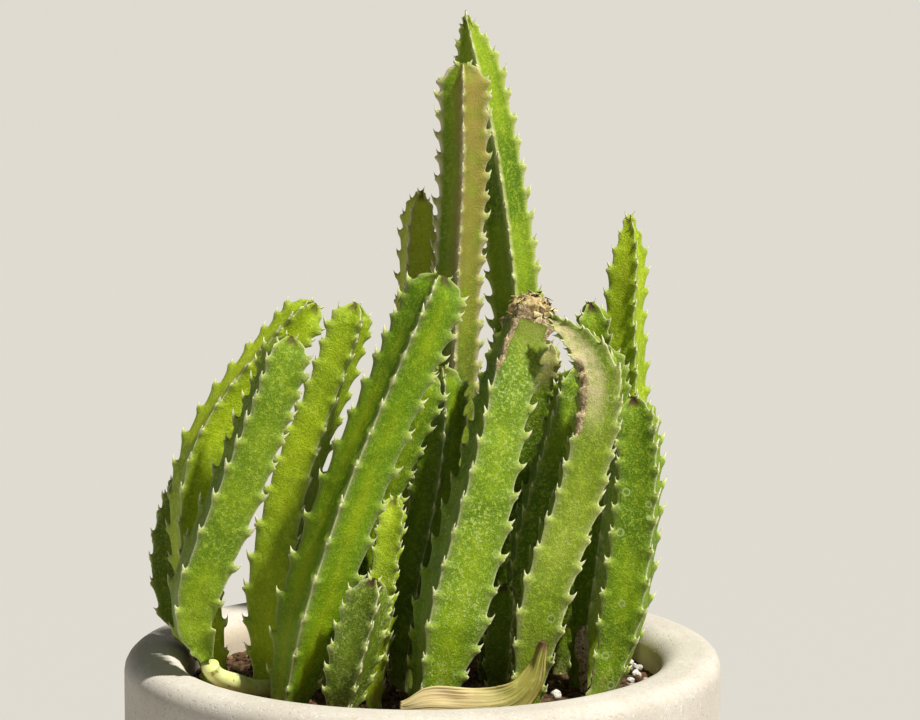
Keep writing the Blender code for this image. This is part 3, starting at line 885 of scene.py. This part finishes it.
def make_leaf():
    """A dry strap leaf, folded along its middle, with a wavy edge and a curled tip."""
    centres, widths, ribs = spine("dried_leaf", 0.012, folds=2, step=0.0015)
    places, centres, widths, ribs = resampled(centres, 0.0006, widths, ribs)
    ribs = smoothed(ribs, 8)
    along, out, beside = frames_along(centres, ribs)
    across = 22
    shares = np.linspace(-1, 1, across)
    taper = fade(0.0, 0.010, places) * 0.45 + 0.55
    lift = 0.0022 * (1 - np.abs(shares)) - 0.0011
    wave = 0.0009 * np.sin(places[:, None] * 260 + shares * 2.2) * np.abs(shares)
    points = (centres[:, None] + out[:, None] * (widths * taper)[:, None, None]
              * shares[:, None] + beside[:, None] * (lift + wave)[..., None])
    points += beside[:, None] * (0.0004 * np.sin(shares * 26))[None, :, None]
    shape = Shape("across", "reach")
    sides = np.broadcast_to(shares, points.shape[:2])
    reach = np.broadcast_to((places / places[-1])[:, None], points.shape[:2])
    shape.add(points, grid_faces(len(places), across, wrapped=False), (0, 0),
              across=sides, reach=reach)
    leaf = shape.build("dry_leaf", mapped=False)
    thick = leaf.modifiers.new("Thickness", "SOLIDIFY")
    thick.thickness = 0.0007
    thick.offset = 0.0
    return leaf


def leaf_paint():
    """Parallel veins along a tan blade that is greener towards its tip."""
    paint = Paint("dry_leaf", 0.6, 0.3)
    across, reach = paint.value("across"), paint.value("reach")
    both = paint.node("ShaderNodeCombineXYZ")
    paint.put(both.inputs[0], paint.math("MULTIPLY", across, 9.0))
    paint.put(both.inputs[1], paint.math("MULTIPLY", reach, 2.2))
    streak = paint.noise(1.0, 3, 0.6, at=both.outputs[0])
    color = paint.mix(paint.ramp(reach, 0.25, 0.75), rgb(222, 204, 148), rgb(158, 160, 66))
    color = paint.mix(paint.times(paint.ramp(streak, 0.46, 0.60), 0.6), color, rgb(170, 136, 84))
    vein = paint.times(paint.ramp(streak, 0.58, 0.64), paint.ramp(reach, 0.75, 0.35), 0.55)
    color = paint.mix(vein, color, rgb(132, 92, 72))
    color = paint.mix(paint.times(paint.blotches(0.003, 3, 0.6, 0.5, 0.7), 0.3), color,
                      rgb(226, 206, 150))
    color = paint.mix(paint.ramp(reach, 0.90, 1.0), color, rgb(96, 66, 44))
    return paint.finish(color, paint.bump(streak, 0.0006, 0.8))


def make_stump():
    """A shrivelled dead stem: folds that twist round it up to a pinched top."""
    centres, widths, ribs = spine("dead_stump", 0.010, folds=ROUND)
    places, centres, widths, ribs = resampled(centres, 0.0005, widths, ribs)
    along, out, beside = frames_along(centres, ribs)
    around = 40
    angles = even_angles(around)
    turned = angles[None] + places[:, None] * 90
    ways = ways_around(out, beside, turned)
    fold = 1 + 0.26 * np.cos(5 * angles) + 0.14 * np.cos(3 * angles + 1)
    slim = 0.75 + 0.5 * rough(centres, 0.006, 10.0)
    radius = widths[:, None] * fold[None] * slim[:, None]
    radius = radius * (0.45 + 0.55 * fade(0.0, 0.006, places[-1] - places))[:, None]
    points = centres[:, None] + ways * radius[..., None]
    points += ways * (0.0007 * rough(points, 0.0016, 11.0))[..., None]
    count = len(places) * around
    faces = grid_faces(len(places), around) + fan(count - around, around, count)
    shape = Shape()
    shape.add(np.concatenate([points.reshape(-1, 3), [centres[-1] - along[-1] * 0.001]]),
              faces, (0, 0))
    return shape.build("dead_stem", mapped=False)


def dead_paint():
    """Bleached fibres with dark cracks and a few pinkish patches."""
    paint = Paint("dead_stem", 0.9, 0.2)
    color = paint.mix(paint.blotches(0.002, 4, 0.7, 0.36, 0.58), rgb(146, 114, 92), rgb(232, 214, 194))
    color = paint.mix(paint.blotches(0.0012, 3, 0.6, 0.58, 0.68), color, rgb(38, 28, 22))
    color = paint.mix(paint.times(paint.blotches(0.004, 3, 0.6, 0.55, 0.68), 0.5), color,
                      rgb(190, 142, 130))
    return paint.finish(color, paint.bump(paint.noise(0.0012, 4, 0.7), 0.0010, 1.0))


def make_grains():
    """The CAD grains as crumpled lumps, with smaller loose ones near them."""
    nodes = sorted(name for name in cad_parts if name.startswith("perlite_grain"))
    random = np.random.default_rng(21)
    shape = Shape("bit")
    for node in nodes:
        low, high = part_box(node)
        centre = np.array((low + high) / 2)
        points, faces = ball(random, (high.z - low.z) / 2 * 1.02, 4, 0.35)
        points *= 1 + 0.10 * rough(points, 0.0005, 12.0)[:, None]
        shape.add(points + centre, faces, (0, 0), bit=random.uniform(0, 1))
    for _ in range(LOOSE_PERLITE):
        angle = random.uniform(-0.9, 0.35)
        far = SOIL_RADIUS * random.uniform(0.86, 0.965)
        size = random.uniform(0.0009, 0.0019)
        points, faces = ball(random, size, 3, 0.35)
        centre = (far * cos(angle), far * sin(angle), SOIL_TOP + size * 0.8)
        shape.add(points + centre, faces, (0, 0), bit=random.uniform(0, 1))
    return shape.build("perlite", mapped=False), nodes


def perlite_paint():
    """Chalky white; a few grains are stained brown."""
    paint = Paint("perlite", 0.9, 0.3)
    color = paint.mix(paint.blotches(0.0016, 3, 0.6, 0.35, 0.65), rgb(196, 190, 178),
                      rgb(238, 236, 228))
    color = paint.mix(paint.times(paint.ramp(paint.value("bit"), 0.6, 0.7), 0.6), color,
                      rgb(150, 128, 102))
    return paint.finish(color, paint.bump(paint.noise(0.0007, 4, 0.7), 0.0005, 1.0))


def add_flake(shape, random, middle):
    """A curled sliver that lies on or stands off the lump about the middle."""
    turn = random.normal(size=3)
    turn[2] = abs(turn[2]) * 0.9 - 0.25
    out = unit(turn)
    foot = middle + out * random.uniform(0.0058, 0.0084)
    ahead = unit(np.cross(out, random.normal(size=3)) + out * random.uniform(-0.1, 0.45))
    side = unit(np.cross(ahead, out))
    length, wide = random.uniform(0.0022, 0.0055), random.uniform(0.0004, 0.0014)
    curl = random.uniform(-0.9, 0.5)
    levels, around = 6, 6
    rings = []
    for level in range(levels):
        t = level / (levels - 1)
        centre = foot + ahead * t * length + out * curl * t * t * length * 0.5
        thin = wide * (1 - 0.7 * t)
        for angle in even_angles(around):
            rings.append(centre + side * thin * cos(angle) + out * thin * 0.28 * sin(angle))
    shape.add(rings, grid_faces(levels, around), (0, 0), bit=random.uniform(0, 1))


def make_crown():
    """The front centre stem's dead tip: a shrivelled lump under curled dry flakes."""
    centres, *_ = spine("stem_front_centre", STEM_REACH)
    upward = unit(centres[-1] - centres[-6])
    middle = centres[-1] - upward * 0.0055
    random = np.random.default_rng(5)
    shape = Shape("bit")
    lump, lump_faces = ball(random, 1.0, 5, 0.25)
    lump = lump * 0.0074 * (1 + 0.25 * rough(lump, 0.35, 13.0))[:, None]
    shape.add(lump + middle, lump_faces, (0, 0), bit=0.35)
    for _ in range(FLAKES):
        add_flake(shape, random, middle)
    return shape.build("dry_crown", mapped=False)


def crown_paint():
    """Straw-coloured flakes, some of them dark."""
    paint = Paint("dry_crown", 0.85, 0.2)
    bit = paint.value("bit")
    color = paint.mix(paint.ramp(bit, 0.1, 0.8), rgb(176, 152, 94), rgb(234, 216, 168))
    color = paint.mix(paint.ramp(bit, 0.86, 0.9), color, rgb(60, 42, 30))
    color = paint.mix(paint.times(paint.blotches(0.0009, 3, 0.6, 0.55, 0.68), 0.8),
                      color, rgb(84, 58, 38))
    return paint.finish(color, paint.bump(paint.noise(0.0006, 3, 0.6), 0.0003, 0.8))


place(make_pot(), pot_paint(), "pot", "pot")
place(make_soil(), soil_paint(), "soil", "soil")
place(make_runner(), runner_paint(), "runner", "pale_runner")
place(make_leaf(), leaf_paint(), "dried_leaf", "dried_leaf")
place(make_stump(), dead_paint(), "dead_stump", "dead_stump")
grains, grain_nodes = make_grains()
place(grains, perlite_paint(), "perlite", *grain_nodes)
place(make_crown(), crown_paint(), "dead_stump")


# ---------------------------------------------------------------- floor, light and camera

FLOOR_HALF = 30
SUN_TOWARDS = (0.56, -0.36, 1.0)
SUN_STRENGTH = 5.2
SUN_SPREAD = 4
SUN_COLOR = (1.0, 0.98, 0.92)
SKY_COLOR = (0.97, 0.98, 1.0, 1)
SKY_STRENGTH = 0.15
CAMERA_AT = (0.015, -1.949, 0.650)
CAMERA_DOWN = 9.67
CAMERA_LENS = 194
SENSOR_WIDTH = 36


def make_floor():
    mesh = bpy.data.meshes.new("floor")
    corners = [(x * FLOOR_HALF, y * FLOOR_HALF, 0) for x, y in ((-1, -1), (1, -1), (1, 1), (-1, 1))]
    mesh.from_pydata(corners, [], [(0, 1, 2, 3)])
    floor = bpy.data.objects.new("floor", mesh)
    bpy.context.scene.collection.objects.link(floor)
    paint = Paint("floor", 0.9, 0.1)
    mesh.materials.append(paint.finish(rgb(186, 184, 179)))


def make_sun():
    """The one lamp, a sun above the right of the front; its rays light the floor evenly."""
    data = bpy.data.lights.new("key", "SUN")
    data.energy = SUN_STRENGTH
    data.angle = radians(SUN_SPREAD)
    data.color = SUN_COLOR
    light = bpy.data.objects.new("key", data)
    light.rotation_euler = Vector(SUN_TOWARDS).to_track_quat("Z", "Y").to_euler()
    bpy.context.scene.collection.objects.link(light)


def make_sky():
    """A plain sky that fills the shadows softly."""
    world = bpy.data.worlds.new("world")
    world.use_nodes = True
    background = world.node_tree.nodes["Background"]
    background.inputs["Color"].default_value = SKY_COLOR
    background.inputs["Strength"].default_value = SKY_STRENGTH
    bpy.context.scene.world = world


def make_camera():
    data = bpy.data.cameras.new("camera")
    data.lens = CAMERA_LENS
    data.sensor_width = SENSOR_WIDTH
    camera = bpy.data.objects.new("camera", data)
    camera.location = CAMERA_AT
    camera.rotation_euler = (radians(90 - CAMERA_DOWN), 0, 0)
    bpy.context.scene.collection.objects.link(camera)
    bpy.context.scene.camera = camera


make_floor()
make_sky()
make_sun()
make_camera()
bpy.context.scene.view_settings.view_transform = "Standard"
